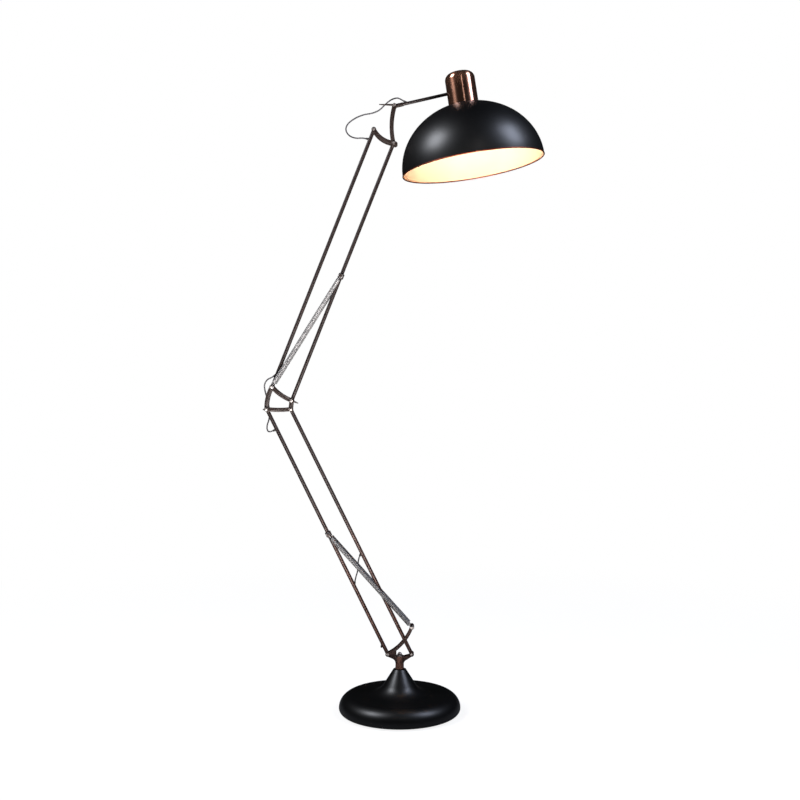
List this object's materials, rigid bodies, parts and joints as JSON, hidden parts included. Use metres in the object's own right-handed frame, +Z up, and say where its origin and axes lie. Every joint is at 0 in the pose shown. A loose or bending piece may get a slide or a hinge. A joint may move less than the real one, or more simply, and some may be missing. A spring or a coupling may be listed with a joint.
{
  "type": "adjustable arm floor lamp",
  "caption": "Tall floor lamp: round weighted base, swivel neck, two sprung parallelogram arms and a tilting dome shade with a copper cap.",
  "frame": {"origin": "centre of the underside of the round floor base", "axes": "+Z up; the arms lie in the XZ plane, the lower arm leaning to -X and the head reaching back to +X; Y across the thickness of the arms"},
  "size_m": [0.7872, 0.402, 1.794],
  "materials": {
    "black_enamel": "satin black powder coat",
    "shade_enamel": "satin black powder coat outside, matte peach inside",
    "copper_cap": "brushed copper plate",
    "neck_copper": "aged copper",
    "bronze_tube": "dark oil-rubbed bronze",
    "bronze_plate": "dark oil-rubbed bronze",
    "bright_steel": "zinc-plated fasteners",
    "spring_steel": "drawn spring wire",
    "cast_weight": "raw cast iron",
    "felt": "pressed felt",
    "black_rubber": "moulded rubber",
    "cable_sheath": "dark flex sheath",
    "phenolic": "black phenolic",
    "contact_brass": "pressed brass"
  },
  "bodies": {
    "base": {"floor_pad": "felt", "base_plate": "bright_steel", "plate_screws": "bright_steel", "base_weight": "cast_weight", "base_shell": "black_enamel", "base_stud": "bright_steel", "stud_hardware": "bright_steel", "swivel_cap_nut": "bright_steel"},
    "swivel": {"neck_collar": "neck_copper", "base_bracket_front": "bronze_plate", "base_bracket_back": "bronze_plate", "bracket_screws": "neck_copper", "base_pivot_bolts": "bright_steel", "lever_pins": "bright_steel"},
    "lower_left": {"lower_left_tube": "bronze_tube", "lower_left_ends": "bronze_plate", "lower_spring_anchor": "bronze_plate", "lower_left_glands": "black_rubber", "lower_flex": "cable_sheath", "elbow_loop_lower": "cable_sheath"},
    "crossover": {"crossover_lead": "cable_sheath"},
    "lower_right": {"lower_right_tube": "bronze_tube", "lower_right_ends": "bronze_plate", "lower_right_gland": "black_rubber"},
    "lower_spring_top": {"lower_springs": "spring_steel"},
    "lower_spring_foot": {"lower_spring_feet": "spring_steel"},
    "elbow": {"elbow_plate_front": "bronze_plate", "elbow_plate_back": "bronze_plate", "elbow_spacers": "bronze_plate", "elbow_bolts": "bright_steel", "elbow_loop_upper": "cable_sheath"},
    "elbow_lever_left": {"elbow_clamp_left": "bronze_plate"},
    "elbow_lever_right": {"elbow_clamp_right": "bronze_plate"},
    "upper_left": {"upper_left_tube": "bronze_tube", "upper_left_ends": "bronze_plate", "upper_left_glands": "black_rubber", "upper_flex": "cable_sheath", "head_loop_lower": "cable_sheath"},
    "upper_right": {"upper_right_tube": "bronze_tube", "upper_right_ends": "bronze_plate", "upper_spring_anchor": "bronze_plate"},
    "upper_spring_top": {"upper_springs": "spring_steel"},
    "upper_spring_foot": {"upper_spring_feet": "spring_steel"},
    "head_bracket": {"head_bracket_front": "bronze_plate", "head_bracket_back": "bronze_plate", "head_bracket_spacer": "bronze_plate", "head_bracket_bolts": "bright_steel", "head_loop_upper": "cable_sheath"},
    "head_lever": {"head_clamp": "bronze_plate"},
    "head": {"stem_knuckle": "bronze_plate", "head_stem": "bronze_tube", "stem_gland": "black_rubber", "copper_cap": "copper_cap", "shade": "shade_enamel", "holder_body": "phenolic", "holder_contacts": "contact_brass", "shade_ring": "phenolic", "holder_strap": "bright_steel", "cap_lock_nuts": "bright_steel"}
  },
  "joints": [
    {"name": "base_swivel", "type": "hinge", "parent": "base", "child": "swivel", "pos_m": [0, 0, 0.163], "axis": [0, 0, 1], "range_deg": [-165, 165]},
    {"name": "lower_arm", "type": "hinge", "parent": "swivel", "child": "lower_left", "pos_m": [-0.0335, 0, 0.163], "axis": [0, 1, 0], "range_deg": [-25, 25]},
    {"name": "lower_right_turn", "type": "hinge", "parent": "swivel", "child": "lower_right", "pos_m": [0.0335, 0, 0.163], "axis": [0, 1, 0], "range_deg": [-25.5, 25.5]},
    {"name": "crossover_turn", "type": "hinge", "parent": "lower_left", "child": "crossover", "pos_m": [-0.17395, 0, 0.44719], "axis": [0, 1, 0], "range_deg": [-25.5, 25.5], "deforming": ["crossover_lead"]},
    {"name": "lower_spring_turn", "type": "hinge", "parent": "lower_left", "child": "lower_spring_top", "pos_m": [-0.19921, 0, 0.49829], "axis": [0, 1, 0], "range_deg": [-4.68, 4.68]},
    {"name": "lower_spring_stretch", "type": "slide", "parent": "lower_spring_top", "child": "lower_spring_foot", "axis": [0.9721, 0, -0.2345], "range_m": [-0.0544, 0.0544], "deforming": ["lower_springs", "lower_spring_feet"]},
    {"name": "elbow_turn", "type": "hinge", "parent": "lower_left", "child": "elbow", "pos_m": [-0.37201, 0, 0.84792], "axis": [0, 1, 0], "range_deg": [-25.5, 25.5], "deforming": ["elbow_loop_lower"]},
    {"name": "elbow_left_clamp", "type": "hinge", "parent": "elbow", "child": "elbow_lever_left", "pos_m": [-0.37201, 0, 0.84792], "axis": [0, 1, 0], "range_deg": [-60, 60]},
    {"name": "elbow_right_clamp", "type": "hinge", "parent": "elbow", "child": "elbow_lever_right", "pos_m": [-0.30209, 0, 0.87238], "axis": [0, 1, 0], "range_deg": [-60, 60]},
    {"name": "upper_arm", "type": "hinge", "parent": "elbow", "child": "upper_left", "pos_m": [-0.35711, 0, 0.91062], "axis": [0, 1, 0], "range_deg": [-20, 30], "deforming": ["elbow_loop_upper"]},
    {"name": "upper_right_turn", "type": "hinge", "parent": "elbow", "child": "upper_right", "pos_m": [-0.30209, 0, 0.87238], "axis": [0, 1, 0], "range_deg": [-20.5, 30.5]},
    {"name": "upper_spring_turn", "type": "hinge", "parent": "upper_right", "child": "upper_spring_top", "pos_m": [-0.16441, 0, 1.22011], "axis": [0, 1, 0], "range_deg": [-3.59, 2.56]},
    {"name": "upper_spring_stretch", "type": "slide", "parent": "upper_spring_top", "child": "upper_spring_foot", "axis": [-0.8708, 0, -0.4916], "range_m": [-0.0271, 0.0402], "deforming": ["upper_springs", "upper_spring_feet"]},
    {"name": "head_level", "type": "hinge", "parent": "upper_left", "child": "head_bracket", "pos_m": [-0.07218, 0, 1.63026], "axis": [0, 1, 0], "range_deg": [-30.5, 20.5], "deforming": ["head_loop_lower"]},
    {"name": "head_lever_clamp", "type": "hinge", "parent": "head_bracket", "child": "head_lever", "pos_m": [-0.01456, 0, 1.69643], "axis": [0, 1, 0], "range_deg": [-45, 60]},
    {"name": "head_tilt", "type": "hinge", "parent": "head_bracket", "child": "head", "pos_m": [-0.01456, 0, 1.69643], "axis": [0, 1, 0], "range_deg": [-45, 12], "deforming": ["head_loop_upper"]}
  ],
  "couplings": [
    {"joint": "lower_right_turn", "follows": "lower_arm", "ratio": 1},
    {"joint": "crossover_turn", "follows": "lower_arm", "ratio": -1},
    {"joint": "lower_spring_turn", "follows": "lower_arm", "ratio": -0.1672},
    {"joint": "lower_spring_stretch", "follows": "lower_arm", "m_per_rad": -0.12243},
    {"joint": "elbow_turn", "follows": "lower_arm", "ratio": -1},
    {"joint": "upper_right_turn", "follows": "upper_arm", "ratio": 1},
    {"joint": "upper_spring_turn", "follows": "upper_arm", "ratio": -0.103},
    {"joint": "upper_spring_stretch", "follows": "upper_arm", "m_per_rad": 0.07478},
    {"joint": "head_level", "follows": "upper_arm", "ratio": -1}
  ]
}
